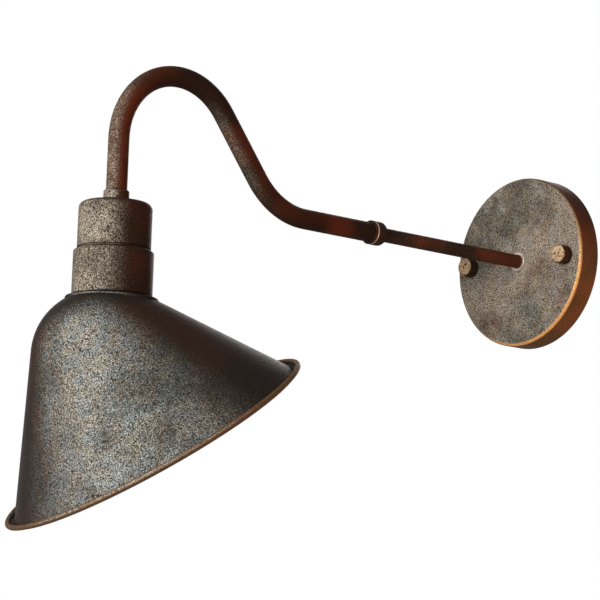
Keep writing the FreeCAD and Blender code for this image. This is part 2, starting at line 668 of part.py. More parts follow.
def make_strap():
    """Bent steel strap that hangs the porcelain from the nipple."""
    strap = head_levels()[2]
    sole = strap + STRAP_DROP
    leg = STRAP_SPAN / 2
    foot = STRAP_FOOT_SPAN / 2
    thick = STRAP_THICKNESS
    inside = STRAP_BEND - thick
    start = HEAD + OUT * (STRAP_WIDTH / 2)
    corners = [(-foot, sole), (-foot, sole - thick), (-leg, sole - thick, inside), (-leg, strap, STRAP_BEND),
               (leg, strap, STRAP_BEND), (leg, sole - thick, inside), (foot, sole - thick), (foot, sole),
               (leg - thick, sole, STRAP_BEND), (leg - thick, strap + thick, inside),
               (thick - leg, strap + thick, inside), (thick - leg, sole, STRAP_BEND)]
    outline = rounded_wire(corners, lambda x, depth: start + RIGHT * x + DOWN * depth)
    body = Part.Face(outline).extrude(OUT * -STRAP_WIDTH)
    holes = [ring(0, THREAD_DIAMETER + 2 * HOLE_PLAY, strap, strap + thick, HEAD, DOWN)]
    for sign in (-1, 1):
        place = HEAD + RIGHT * (sign * HOLDER_SCREW_SPACING / 2)
        holes.append(ring(0, HOLDER_SCREW_DIAMETER + 2 * HOLE_PLAY, sole - thick, sole, place, DOWN))
    return body.cut(holes)


def terminal_place(sign):
    return HEAD + OUT * (sign * TERMINAL_SPACING / 2)


def make_porcelain():
    """Porcelain lampholder: pockets for the terminals on top, the lamp's cavity below."""
    top = head_levels()[5]
    bottom = top + HOLDER_HEIGHT
    cavity = cavity_level()
    outer = HOLDER_DIAMETER / 2
    bore = LAMP_CAP_DIAMETER / 2 + LAMP_THREAD_PLAY + SHELL_SHEET + SEAT_PLAY
    body = turned([(0, top), (outer, top, HOLDER_CORNER), (outer, bottom, HOLDER_CORNER), (bore, bottom),
                   (bore, cavity), (0, cavity)], HEAD, DOWN)
    cuts = []
    for sign in (-1, 1):
        width = TERMINAL_WIDTH + 2 * HOLE_PLAY
        inner_face = TERMINAL_SPACING / 2 - TERMINAL_DEPTH / 2 - HOLE_PLAY
        pocket = Part.makeBox(width, outer, HOLDER_WEB_TOP)
        pocket.translate(VECTOR(-width / 2, inner_face, -top - HOLDER_WEB_TOP))
        if sign > 0:
            pocket.rotate(ORIGIN, UP, 180)
        pocket.translate(HEAD)
        cuts.append(pocket)
        place = HEAD + RIGHT * (sign * HOLDER_SCREW_SPACING / 2)
        cuts.append(ring(0, HOLDER_SCREW_DIAMETER + 2 * THREAD_PLAY, top, top + HOLDER_SCREW_LENGTH, place, DOWN))
    for distance in (LIVE_RIVET_PLACE, -NEUTRAL_RIVET_PLACE):
        cuts.append(ring(0, RIVET_DIAMETER + 2 * SEAT_PLAY, top + HOLDER_WEB_TOP, cavity,
                         HEAD + OUT * distance, DOWN))
    return body.cut(cuts)


def make_lampholder():
    top = head_levels()[5]
    sole_top = top - STRAP_THICKNESS
    cavity = cavity_level()
    pocket_floor = top + HOLDER_WEB_TOP
    save("holder_strap", make_strap())
    save("holder_screws", group([
        screw(HOLDER_SCREW_DIAMETER, HOLDER_SCREW_DIAMETER * 1.8, HOLDER_SCREW_DIAMETER * 0.7,
              STRAP_THICKNESS + HOLDER_SCREW_LENGTH,
              HEAD + RIGHT * (sign * HOLDER_SCREW_SPACING / 2) + DOWN * sole_top, DOWN)
        for sign in (-1, 1)]))
    save("lampholder_body", make_porcelain())

    blocks = []
    screws = []
    block_top = pocket_floor - TERMINAL_HEIGHT
    for sign, rivet in ((1, LIVE_RIVET_PLACE), (-1, NEUTRAL_RIVET_PLACE)):
        middle = terminal_place(sign)
        block = Part.makeBox(TERMINAL_WIDTH, TERMINAL_DEPTH, TERMINAL_HEIGHT)
        block.translate(VECTOR(-TERMINAL_WIDTH / 2, -TERMINAL_DEPTH / 2, 0) + middle + DOWN * pocket_floor)
        wire_hole = ring(0, CORE_DIAMETER + 2 * HOLE_PLAY, block_top, block_top + TERMINAL_HEIGHT / 2, middle, DOWN)
        face = middle + OUT * (sign * TERMINAL_DEPTH / 2) + DOWN * (block_top + TERMINAL_HEIGHT / 2)
        inward = OUT * -sign
        screw_reach = TERMINAL_DEPTH / 3
        screw_hole = ring(0, TERMINAL_SCREW_DIAMETER + 2 * THREAD_PLAY, 0, screw_reach, face, inward)
        pin = ring(0, RIVET_DIAMETER, pocket_floor, cavity, HEAD + OUT * (sign * rivet), DOWN)
        blocks.append(block.cut([wire_hole, screw_hole]).fuse(pin).removeSplitter())
        screws.append(screw(TERMINAL_SCREW_DIAMETER, TERMINAL_SCREW_DIAMETER * 1.6, TERMINAL_SCREW_DIAMETER * 0.5,
                            screw_reach, face, inward))
    save("holder_terminals", group(blocks))
    save("holder_terminal_screws", group(screws))

    inner = LAMP_CAP_DIAMETER / 2 + LAMP_THREAD_PLAY
    outer = inner + SHELL_SHEET
    mouth = top + HOLDER_HEIGHT - SHELL_SHORT
    flange = outer - SHELL_FLANGE
    save("screw_shell", turned([(flange, cavity), (outer, cavity), (outer, mouth), (inner, mouth),
                                (inner, cavity + SHELL_SHEET), (flange, cavity + SHELL_SHEET)], HEAD, DOWN))

    base_end = math.sqrt((flange - HOLE_PLAY) ** 2 - (CONTACT_WIDTH / 2) ** 2)
    knee = LIVE_RIVET_PLACE - RIVET_DIAMETER / 2
    tip = -CONTACT_OVERHANG
    sheet = CONTACT_SHEET
    rise = CONTACT_RISE
    tongue = [(base_end, 0), (base_end, sheet), (knee, sheet), (0, rise + sheet), (tip, rise + sheet),
              (tip, rise), (0, rise), (knee, 0)]
    side = HEAD + RIGHT * (CONTACT_WIDTH / 2) + DOWN * cavity
    outline = rounded_wire(tongue, lambda out, depth: side + OUT * out + DOWN * depth)
    save("centre_contact", Part.Face(outline).extrude(RIGHT * -CONTACT_WIDTH))


# ---------------------------------------------------------------- lamp
def make_lamp():
    tip = lamp_level()
    insulator = tip + LAMP_CONTACT_HEIGHT
    thread = insulator + LAMP_INSULATOR_HEIGHT
    cap_end = tip + LAMP_CAP_LENGTH
    end = tip + LAMP_LENGTH
    cap = LAMP_CAP_DIAMETER / 2
    button = LAMP_CONTACT_DIAMETER / 2
    save("lamp_contact", turned([(0, tip), (button, tip, LAMP_CONTACT_HEIGHT / 2), (button, insulator),
                                 (0, insulator)], HEAD, DOWN))
    save("lamp_insulator", turned([(0, insulator), (button, insulator), (cap - 1.5 * LAMP_CAP_SHEET, thread),
                                   (0, thread)], HEAD, DOWN))
    cap_inner = cap - LAMP_CAP_SHEET
    save("lamp_cap", turned([(0, thread), (cap - 1.5 * LAMP_CAP_SHEET, thread), (cap, thread + LAMP_CAP_SHEET),
                             (cap, cap_end), (cap_inner, cap_end), (cap_inner, thread + LAMP_CAP_SHEET),
                             (0, thread + LAMP_CAP_SHEET)], HEAD, DOWN))
    save("lamp_globe", make_globe(cap_end, end, cap_inner - SEAT_PLAY))


def globe_wire(radius, neck, start, shoulder, end):
    """Half outline of the globe: neck, hollow curve, ball and the end on the axis."""
    centre = end - radius
    # the hollow curve leaves the neck at the shoulder and touches the ball
    rise = centre - shoulder
    hollow = (rise ** 2 - radius ** 2 + neck ** 2) / (2 * (radius - neck))
    offset = neck + hollow
    hollow_centre = (offset, shoulder)
    share = radius / (hollow + radius)
    touch = (offset * share, centre - rise * share)
    turn = math.atan2(touch[1] - hollow_centre[1], touch[0] - hollow_centre[0])
    middle_angle = (turn + math.pi) / 2
    middle = (hollow_centre[0] + hollow * math.cos(middle_angle), hollow_centre[1] + hollow * math.sin(middle_angle))
    ball_start = math.atan2(touch[1] - centre, touch[0])
    ball_angle = (ball_start + math.pi / 2) / 2
    ball_middle = (radius * math.cos(ball_angle), centre + radius * math.sin(ball_angle))
    place = lambda p: HEAD + RIGHT * p[0] + DOWN * p[1]
    neck_top = (neck, hollow_centre[1])
    first = (neck, start)
    edges = [Part.LineSegment(place((0, start)), place(first)).toShape(),
             Part.LineSegment(place(first), place(neck_top)).toShape(),
             Part.Arc(place(neck_top), place(middle), place(touch)).toShape(),
             Part.Arc(place(touch), place(ball_middle), place((0, end))).toShape(),
             Part.LineSegment(place((0, end)), place((0, start))).toShape()]
    return Part.Wire(edges)


def make_globe(cap_end, end, neck):
    """Hollow opal globe, its open neck cemented into the cap."""
    radius = LAMP_DIAMETER / 2
    start = cap_end - LAMP_CAP_LENGTH / 4
    outside = globe_wire(radius, neck, start, cap_end, end)
    inside = globe_wire(radius - LAMP_GLASS, neck - LAMP_GLASS, start, cap_end, end - LAMP_GLASS)
    return Part.Face(outside).revolve(HEAD, DOWN, 360).cut(Part.Face(inside).revolve(HEAD, DOWN, 360))


# ---------------------------------------------------------------- shade
def shade_frame():
    """Crown centre, axis towards the crown, and the side that faces the wall."""
    tilt = radians(SHADE_TILT)
    axis = OUT * math.sin(tilt) + UP * math.cos(tilt)
    side = UP * math.sin(tilt) - OUT * math.cos(tilt)
    crown = HEAD + OUT * CROWN_SETBACK + DOWN * (seat_level() + SEAT_HEIGHT)
    return crown, axis, side


def cone_run():
    """Radius and height, over the crown's centre, of the cone's upper end and of the rim's roll."""
    lean = radians(SHADE_HALF_ANGLE)
    top_radius = CROWN_FLAT / 2 + CROWN_RADIUS * math.cos(lean)
    top = CROWN_RADIUS * math.sin(lean)
    roll_radius = SHADE_DIAMETER / 2 - RIM_RADIUS - SHADE_SHEET
    touch_radius = roll_radius - RIM_RADIUS * math.cos(lean)
    touch = top - (touch_radius - top_radius) / math.tan(lean)
    return top_radius, top, roll_radius, touch - RIM_RADIUS * math.sin(lean)


def cone_fill(inset):
    """Solid turned form under the crown and cone, drawn in by the sheet on its inner side."""
    crown, axis, side = shade_frame()
    lean = radians(SHADE_HALF_ANGLE)
    top_radius, top, roll_radius, roll = cone_run()
    place = lambda r, h: crown + side * r + axis * h
    flat = CROWN_FLAT / 2
    arc_radius = CROWN_RADIUS - inset
    half = (lean + math.pi / 2) / 2
    summit = place(0, arc_radius)
    flat_edge = place(flat, arc_radius)
    arc_middle = place(flat + arc_radius * math.cos(half), arc_radius * math.sin(half))
    arc_end = place(flat + arc_radius * math.cos(lean), arc_radius * math.sin(lean))
    reach = RIM_RADIUS + inset
    foot_height = roll - (RIM_RADIUS + SHADE_SHEET) * math.sin(lean)
    cone_foot = place(roll_radius - reach * math.cos(lean), roll - reach * math.sin(lean))
    edges = [Part.LineSegment(summit, flat_edge).toShape(),
             Part.Arc(flat_edge, arc_middle, arc_end).toShape(),
             Part.LineSegment(arc_end, cone_foot).toShape()]
    last = cone_foot
    if inset == 0:
        inner_foot = place(roll_radius - (RIM_RADIUS + SHADE_SHEET) * math.cos(lean), foot_height)
        edges.append(Part.LineSegment(cone_foot, inner_foot).toShape())
        last = inner_foot
    middle = place(0, foot_height)
    edges.append(Part.LineSegment(last, middle).toShape())
    edges.append(Part.LineSegment(middle, summit).toShape())
    return Part.Face(Part.Wire(edges)).revolve(crown, axis, 360)


def rolled_rim():
    """Gutter rolled outwards round the mouth, from the cone's foot to its upright lip."""
    crown, axis, side = shade_frame()
    lean = radians(SHADE_HALF_ANGLE)
    roll_radius, roll = cone_run()[2:]
    outer = RIM_RADIUS + SHADE_SHEET

    def at(radius, angle, lift=0):
        return crown + side * (roll_radius + radius * math.cos(angle)) + axis * (roll + radius * math.sin(angle) + lift)

    start = math.pi + lean
    middle = (start + 2 * math.pi) / 2
    lip_end = crown + side * (roll_radius + RIM_RADIUS + SHADE_SHEET / 2) + axis * (roll + RIM_LIP + SHADE_SHEET / 2)
    edges = [Part.Arc(at(RIM_RADIUS, start), at(RIM_RADIUS, middle), at(RIM_RADIUS, 0)).toShape(),
             Part.LineSegment(at(RIM_RADIUS, 0), at(RIM_RADIUS, 0, RIM_LIP)).toShape(),
             Part.Arc(at(RIM_RADIUS, 0, RIM_LIP), lip_end, at(outer, 0, RIM_LIP)).toShape(),
             Part.LineSegment(at(outer, 0, RIM_LIP), at(outer, 0)).toShape(),
             Part.Arc(at(outer, 0), at(outer, middle), at(outer, start)).toShape(),
             Part.LineSegment(at(outer, start), at(RIM_RADIUS, start)).toShape()]
    return Part.Face(Part.Wire(edges)).revolve(crown, axis, 360)


def seat_fill(inset):
    """Everything under the seat's level, and the raised seat itself, drawn in by inset."""
    level = seat_level() + inset
    radius = SEAT_DIAMETER / 2 - inset
    edge = SEAT_EDGE - inset
    corner = (radius, level, edge) if edge > 0 else (radius, level)
    raised = turned([(0, level), corner, (radius, level + SEAT_SKIRT), (0, level + SEAT_SKIRT)], HEAD, DOWN)
    crown_part = cone_fill(inset)
    above = Part.makeCylinder(CROWN_RADIUS * 2, CROWN_RADIUS * 2, HEAD + DOWN * level, UP)
    return crown_part.cut(above).fuse(raised)


def make_shade():
    bore = SPIGOT_DIAMETER / 2 + TURN_PLAY
    hole = ring(0, 2 * bore, seat_level() - SHADE_SHEET, seat_level() + 2 * SHADE_SHEET, HEAD, DOWN)
    shade = seat_fill(0).cut(seat_fill(SHADE_SHEET)).fuse(rolled_rim()).cut(hole)
    shade.rotate(HEAD, UP, -SHADE_TURN)
    return shade


# ---------------------------------------------------------------- wiring
def make_wiring():
    nipple_end = head_levels()[4]
    holder = head_levels()[5]
    flex_back = rod_back() - BUSH_FLANGE
    flex_end = nipple_end + BUSH_FLANGE
    edges = arm_edges(flex_back, flex_end)
    flex = swept(edges, FLEX_DIAMETER)
    length = sum(edge.Length for edge in edges)
    area = math.pi * FLEX_DIAMETER ** 2 / 4
    print("flex length %.1f volume ratio %.4f" % (length, flex.Volume / (length * area)))
    save("lamp_flex", flex)

    wall_start = OUT * flex_back
    entry_out = OUT * barrel_axis_out()
    block_top = HOLDER_WEB_TOP - TERMINAL_HEIGHT
    head_start = HEAD + DOWN * flex_end
    turn_level = DOWN * ((flex_end + holder + block_top) / 2)
    wires = {}
    for name, sign in (("live_core", 1), ("neutral_core", -1)):
        pole = RIGHT * (sign * POLE_SPACING / 2)
        leave = wall_start + RIGHT * (sign * CORE_OFFSET)
        turn = OUT * (BRACKET_THICKNESS + CORE_DIAMETER) + RIGHT * (sign * CORE_OFFSET)
        above_block = entry_out + pole + DOWN * (BLOCK_TOP - CORE_OFFSET * 4)
        inside_block = entry_out + pole + DOWN * (BLOCK_TOP + BLOCK_LENGTH / 3)
        wall_end = core([leave, turn, above_block, inside_block])
        start = head_start + OUT * (sign * CORE_OFFSET)
        first = HEAD + turn_level + OUT * (sign * CORE_OFFSET)
        second = terminal_place(sign) + turn_level
        final = terminal_place(sign) + DOWN * (holder + block_top + TERMINAL_HEIGHT / 3)
        wires[name] = [wall_end, core([start, first, second, final])]
    earth_leave = wall_start + UP * CORE_OFFSET
    screw_head = BRACKET_THICKNESS + EARTH_SCREW_DIAMETER * 0.6 + CORE_DIAMETER / 2
    earth_turn = OUT * screw_head + UP * CORE_OFFSET
    earth_end = earth_place() + OUT * screw_head
    wall_earth = core([earth_leave, earth_turn, earth_end])
    leg_inside = STRAP_SPAN / 2 - STRAP_THICKNESS
    head_leave = head_start + RIGHT * CORE_OFFSET
    head_turn = HEAD + turn_level + RIGHT * CORE_OFFSET
    head_end = HEAD + turn_level + RIGHT * leg_inside
    wires["earth_core"] = [wall_earth, core([head_leave, head_turn, head_end])]
    for name, solids in wires.items():
        save(name, group(solids))


make_wall_end()
make_terminals()
make_arm()
make_head()
make_lampholder()
make_lamp()
save("shade", make_shade())
make_wiring()
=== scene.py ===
"""Looks of a gooseneck wall sconce: antique bronze finish, lamp and fittings, light and camera.

Lengths are in metres, except those of the turned pieces, which are in millimetres. Angles are in
degrees. +Z is up, the arm reaches out from the wall along -Y, and +X is to the right of someone
who faces the wall.
"""
import math

import bmesh
import bpy
from mathutils import Matrix, Vector


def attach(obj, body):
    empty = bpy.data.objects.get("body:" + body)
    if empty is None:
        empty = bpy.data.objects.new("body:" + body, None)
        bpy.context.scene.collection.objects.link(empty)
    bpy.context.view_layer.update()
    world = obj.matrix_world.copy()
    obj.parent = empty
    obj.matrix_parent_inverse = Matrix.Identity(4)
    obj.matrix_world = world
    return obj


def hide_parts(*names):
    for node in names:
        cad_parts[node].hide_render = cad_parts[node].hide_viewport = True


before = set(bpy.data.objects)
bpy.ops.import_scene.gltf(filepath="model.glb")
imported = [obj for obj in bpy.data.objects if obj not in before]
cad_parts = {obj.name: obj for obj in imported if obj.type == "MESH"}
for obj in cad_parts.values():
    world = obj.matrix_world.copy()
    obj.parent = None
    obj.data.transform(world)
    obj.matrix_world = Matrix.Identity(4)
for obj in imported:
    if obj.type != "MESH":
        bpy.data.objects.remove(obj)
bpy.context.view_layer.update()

# Directions and places of the part's own frame
OUT = Vector((0.0, -1.0, 0.0))
UP = Vector((0.0, 0.0, 1.0))
DOWN = Vector((0.0, 0.0, -1.0))
RIGHT = Vector((1.0, 0.0, 0.0))
ORIGIN = Vector((0.0, 0.0, 0.0))        # where the rod's axis meets the wall
HEAD_PLACE = Vector((0.0, -0.395, 0.0))  # on the head's upright axis, level with the rod
MM = 0.001

# ---------------------------------------------------------------- camera
CAMERA_AZIMUTH = 48.35
CAMERA_ELEVATION = -9.03
CAMERA_ROLL = 2.01
CAMERA_DISTANCE = 2.2069
CAMERA_TARGET = Vector((0.0, -0.01816, 0.0))
CAMERA_SIDE_STEP = -0.16045     # along the picture's width
CAMERA_RISE_STEP = -0.02804     # along the picture's height
FOCAL_LENGTH = 180.0            # millimetres, on the sensor below
SENSOR_WIDTH = 36.0

# ---------------------------------------------------------------- stage and light
FLOOR_HEIGHT = -0.72
FLOOR_SIZE = 8.0
FLOOR_TONES = ((0.80, 0.80, 0.79), (0.84, 0.84, 0.83))
WORLD_LIGHT = 0.2               # of the white background, as a light
LAMP_AIM = (0.0, -0.25, -0.05)
DAYLIGHT = (1.0, 0.98, 0.95)
EMBER = (1.0, 0.5, 0.22)
LAMPS = (                       # name, place, size, watts and colour
    ("key", (0.55, -1.96, 0.2), 0.9, 35.0, DAYLIGHT),
    ("back_fill", (-1.05, 1.3, 0.55), 0.9, 12.0, DAYLIGHT),
    ("warm_side", (0.9, 0.45, -0.45), 0.5, 4.5, EMBER),
)


def direction(azimuth, elevation):
    """Unit vector, with the azimuth counted from straight out of the wall towards +X."""
    azimuth = math.radians(azimuth)
    elevation = math.radians(elevation)
    return Vector((math.sin(azimuth) * math.cos(elevation), -math.cos(azimuth) * math.cos(elevation),
                   math.sin(elevation)))


def camera_axes():
    """Picture right, picture up and the way back from the object to the camera."""
    azimuth = math.radians(CAMERA_AZIMUTH)
    roll = math.radians(CAMERA_ROLL)
    back = direction(CAMERA_AZIMUTH, CAMERA_ELEVATION)
    level = Vector((math.cos(azimuth), math.sin(azimuth), 0.0))
    rise = back.cross(level)
    right = level * math.cos(roll) + rise * math.sin(roll)
    up = rise * math.cos(roll) - level * math.sin(roll)
    return right, up, back


def make_camera():
    """Camera of the photograph, found by a fit to its outlines."""
    right, up, back = camera_axes()
    data = bpy.data.cameras.new("camera")
    data.lens = FOCAL_LENGTH
    data.sensor_width = SENSOR_WIDTH
    data.clip_start = 0.05
    data.clip_end = 50.0
    camera = bpy.data.objects.new("camera", data)
    bpy.context.scene.collection.objects.link(camera)
    place = CAMERA_TARGET + back * CAMERA_DISTANCE + right * CAMERA_SIDE_STEP + up * CAMERA_RISE_STEP
    turn = Matrix((right, up, back)).transposed().to_4x4()
    camera.matrix_world = Matrix.Translation(place) @ turn
    bpy.context.scene.camera = camera


# ---------------------------------------------------------------- shader building
class Nodes:
    """Builds one material's node tree."""

    def __init__(self, name):
        self.material = bpy.data.materials.new(name)
        self.material.use_nodes = True
        self.tree = self.material.node_tree
        self.tree.nodes.clear()
        self.place = None

    def add(self, kind, **settings):
        node = self.tree.nodes.new("ShaderNode" + kind)
        for key, value in settings.items():
            setattr(node, key, value)
        return node

    def put(self, socket, value):
        if isinstance(value, bpy.types.NodeSocket):
            self.tree.links.new(value, socket)
        elif value is not None:
            socket.default_value = value

    def coordinates(self):
        """Object coordinates, which are metres in the part's own frame."""
        if self.place is None:
            self.place = self.add("TexCoord").outputs["Object"]
        return self.place

    def math(self, operation, a, b=None, c=None, clamp=False):
        node = self.add("Math", operation=operation, use_clamp=clamp)
        for index, value in enumerate((a, b, c)):
            self.put(node.inputs[index], value)
        return node.outputs[0]

    def vector(self, operation, a, b=None, scale=None):
        node = self.add("VectorMath", operation=operation)
        self.put(node.inputs[0], a)
        self.put(node.inputs[1], b)
        if scale is not None:
            self.put(node.inputs["Scale"], scale)
        return node.outputs["Value" if operation in ("LENGTH", "DOT_PRODUCT") else "Vector"]

    def noise(self, size, detail=3.0, roughness=0.5, distortion=0.0, place=None):
        """Noise whose features are about size metres across."""
        node = self.add("TexNoise")
        self.put(node.inputs["Vector"], place or self.coordinates())
        node.inputs["Scale"].default_value = 1.0 / size
        node.inputs["Detail"].default_value = detail
        node.inputs["Roughness"].default_value = roughness
        node.inputs["Distortion"].default_value = distortion
        return node.outputs["Fac"]

    def warped(self, size, reach):
        """Object coordinates pushed about by a noise, for streaks that curl."""
        node = self.add("TexNoise")
        self.put(node.inputs["Vector"], self.coordinates())
        node.inputs["Scale"].default_value = 1.0 / size
        node.inputs["Detail"].default_value = 1.0
        centred = self.vector("SUBTRACT", node.outputs["Color"], (0.5, 0.5, 0.5))
        return self.vector("ADD", self.coordinates(), self.vector("SCALE", centred, scale=reach))

    def shifted(self, step):
        """Object coordinates moved away, for a noise of its own."""
        return self.vector("ADD", self.coordinates(), (step, step * 0.7, -step))

    def normal(self):
        """The surface's direction in the part's own frame."""
        return self.add("TexCoord").outputs["Normal"]

    def along(self, axis, base):
        """Distance from base along an axis."""
        reach = self.vector("SUBTRACT", self.coordinates(), tuple(base))
        return self.vector("DOT_PRODUCT", reach, tuple(axis))

    def beside(self, axis, base):
        """Distance from the line through base along an axis."""
        reach = self.vector("SUBTRACT", self.coordinates(), tuple(base))
        return self.vector("LENGTH", self.vector("CROSS_PRODUCT", reach, tuple(axis)))

    def step(self, value, low, high):
        """Smooth step from 0 at low to 1 at high."""
        node = self.add("MapRange", interpolation_type="SMOOTHSTEP")
        self.put(node.inputs["Value"], value)
        self.put(node.inputs["From Min"], low)
        self.put(node.inputs["From Max"], high)
        return node.outputs["Result"]

    def range(self, value, low, high, to_low, to_high):
        """Straight ramp from to_low at low to to_high at high."""
        node = self.add("MapRange")
        self.put(node.inputs["Value"], value)
        self.put(node.inputs["From Min"], low)
        self.put(node.inputs["From Max"], high)
        self.put(node.inputs["To Min"], to_low)
        self.put(node.inputs["To Max"], to_high)
        return node.outputs["Result"]

    def mix(self, share, a, b):
        """Colour between a, at share 0, and b, at share 1."""
        node = self.add("Mix", data_type="RGBA")
        factor, first, second = (node.inputs[index] for index in (0, 6, 7))
        self.put(factor, share)
        self.put(first, (*a, 1.0) if isinstance(a, tuple) else a)
        self.put(second, (*b, 1.0) if isinstance(b, tuple) else b)
        return node.outputs[2]

    def bump(self, height, distance, strength, normal=None):
        node = self.add("Bump")
        node.inputs["Strength"].default_value = strength
        node.inputs["Distance"].default_value = distance
        self.put(node.inputs["Height"], height)
        self.put(node.inputs["Normal"], normal)
        return node.outputs["Normal"]

    def finish(self, **inputs):
        """The material, with a value or a socket for each named input of its shader."""
        shader = self.add("BsdfPrincipled")
        for name, value in inputs.items():
            self.put(shader.inputs[name.replace("_", " ")], value)
        output = self.add("OutputMaterial")
        self.tree.links.new(shader.outputs["BSDF"], output.inputs["Surface"])
        return self.material


def linear(red, green, blue):
    """Scene-linear colour of a display colour given as 0 to 255."""
    values = []
    for channel in (red, green, blue):
        share = channel / 255.0
        values.append(share / 12.92 if share <= 0.04045 else ((share + 0.055) / 1.055) ** 2.4)
    return tuple(values)


# ---------------------------------------------------------------- antique bronze
DARK_BROWN = linear(38, 24, 17)
RUST_RED = linear(92, 40, 22)
# MID_GREY and BLUE_GREY are the ground's colours where rubbing, painted light and painted sheen lighten it.
MID_GREY = linear(78, 72, 64)
PALE_GOLD = linear(200, 188, 166)
PALE_GREY = linear(184, 188, 184)
BLUE_GREY = linear(70, 77, 79)
# Colour of worn copper edges, and on the canopy's lower right also of a painted warm glow.
WORN_COPPER = linear(226, 166, 104)

FLECK_SIZE = 0.0012
PATCH_SIZE = 0.022
CLOUD_SIZE = 0.06
HUE_SIZE = 0.0099
HUE_SHIFT = 3.7             # keeps the hue's noise apart from the patches'
CURL_SIZE = 2.4             # in fleck sizes, as are the next two
CURL_REACH = 2.2
GRAIN_SIZE = 0.45
FLECK_WEIGHTS = (0.16, 0.42, 0.42)      # of ridges, grain and fine noise in the flecks' height
FLECK_LEVEL = 0.63                      # height where flecks start at no cover
FLECK_SOFTNESS = (-0.018, 0.036)
FLECK_STRENGTH = (0.06, 0.9)            # with none and with all of the rubbing and painted light
WORKED_STEP = (0.36, 0.60)
RUST_STEP = (0.44, 0.62)
GROUND_HUE_STEP = (0.44, 0.60)
FLECK_HUE_STEP = (0.40, 0.58)
GROUND_RUB_AND_LIGHT = 0.5                        # how much of the rubbing, painted light and painted sheen the ground takes, as a lighter grey
FLECK_METAL = 0.15
WORN_METAL = 0.5
ROUGHNESS = (0.40, 0.56)
MIDDLE_OF_NOISE = (0.3, 0.7)
PIT_DEPTH = 0.00025
GRAIN_DEPTH = 0.0001


def antique_bronze(name, cover=0.5, rust=0.3, cool=0.5, rub_and_light=1.0, fleck=FLECK_SIZE, cloudy=0.4,
                   pale=PALE_GOLD, deep=DARK_BROWN, edge=None, painted_light=None):
    """Dark paint with pale flecks that curl, under cool and rusty clouds, lightened by rubbing and by
    painted light.

    cover is the share of the surface that the flecks take, rust and cool the strength of the
    clouds' colours, rub_and_light that of the rubbing and painted light, and cloudy how much it
    varies from cloud to cloud. fleck is their size, and pale and deep are the colours of the flecks
    and of the paint. painted_light(nodes) masks the painted light and shade, where the surface faces
    the light or away from it, and edge(nodes) where it is worn to copper, which on the canopy also
    holds a painted warm glow.
    """
    nodes = Nodes(name)
    curl = nodes.warped(fleck * CURL_SIZE, fleck * CURL_REACH)
    fine = nodes.noise(fleck, detail=2.0, roughness=0.6, distortion=0.7, place=curl)
    grain = nodes.noise(fleck * GRAIN_SIZE, detail=2.0, roughness=0.7)
    patch = nodes.noise(PATCH_SIZE, detail=3.0, roughness=0.6, distortion=0.5)
    cloud = nodes.noise(CLOUD_SIZE, detail=2.0)
    hue = nodes.noise(HUE_SIZE, detail=2.0, place=nodes.shifted(HUE_SHIFT))

    # Rubbing varies from cloud to cloud. The painted light mask then keeps the flecks and the lighter ground
    # to what faces the light, and leaves the rest dark as painted shade.
    rubbed_and_lit = nodes.math("MULTIPLY_ADD", cloud, 0.5, nodes.math("MULTIPLY", patch, 0.5))
    rubbed_and_lit = nodes.range(nodes.step(rubbed_and_lit, *WORKED_STEP), 0.0, 1.0, 1.0 - cloudy, 1.0)
    if painted_light is not None:
        rubbed_and_lit = nodes.math("MULTIPLY", rubbed_and_lit, painted_light(nodes))
    rubbed_and_lit = nodes.math("MULTIPLY", rubbed_and_lit, rub_and_light)

    rusty = nodes.math("MULTIPLY", nodes.step(cloud, *RUST_STEP), rust)
    cool_ground = nodes.math("MULTIPLY", nodes.step(hue, *GROUND_HUE_STEP), cool)
    cool_flecks = nodes.math("MULTIPLY", nodes.step(hue, *FLECK_HUE_STEP), cool)
    ground = nodes.mix(nodes.math("MULTIPLY", rubbed_and_lit, GROUND_RUB_AND_LIGHT), nodes.mix(rusty, deep, RUST_RED),
                       nodes.mix(cool_ground, MID_GREY, BLUE_GREY))
    light = nodes.mix(cool_flecks, pale, PALE_GREY)

    # The noise's middle value runs along winding lines, which the ridges follow.
    ridge = nodes.math("ABSOLUTE", nodes.math("MULTIPLY_ADD", fine, 6.0, -3.0))
    ridge = nodes.math("SUBTRACT", 1.0, ridge)
    ridge_weight, grain_weight, fine_weight = FLECK_WEIGHTS
    height = nodes.math("MULTIPLY_ADD", grain, grain_weight, nodes.math("MULTIPLY", fine, fine_weight))
    height = nodes.math("MULTIPLY_ADD", ridge, ridge_weight, height)
    level = nodes.math("MULTIPLY_ADD", rubbed_and_lit, -0.05, FLECK_LEVEL - 0.10 * cover)
    flecks = nodes.step(nodes.math("SUBTRACT", height, level), *FLECK_SOFTNESS)
    share = nodes.math("MULTIPLY", flecks, nodes.range(rubbed_and_lit, 0.0, 1.0, *FLECK_STRENGTH))

    colour = nodes.mix(share, ground, light)
    metal = nodes.math("MULTIPLY", share, FLECK_METAL)
    # Worn copper, and on the canopy also a painted warm glow at the lower right.
    if edge is not None:
        uneven = nodes.range(fine, 0.35, 0.6, 0.5, 1.0)
        worn = nodes.math("MULTIPLY", edge(nodes), uneven, clamp=True)
        colour = nodes.mix(worn, colour, WORN_COPPER)
        metal = nodes.math("MAXIMUM", metal, nodes.math("MULTIPLY", worn, WORN_METAL))
    pits = nodes.bump(fine, PIT_DEPTH, 0.6)
    return nodes.finish(Base_Color=colour, Metallic=metal, Specular_IOR_Level=0.01,
                        Roughness=nodes.range(grain, *MIDDLE_OF_NOISE, *ROUGHNESS),
                        Normal=nodes.bump(grain, GRAIN_DEPTH, 0.5, normal=pits))


PLAIN_GRAIN = 0.0015
PLAIN_MOTTLE = 0.009
PLAIN_DEPTH = 0.00002
PLAIN_SHADE = 0.76          # of the colour, in the mottling's darker places


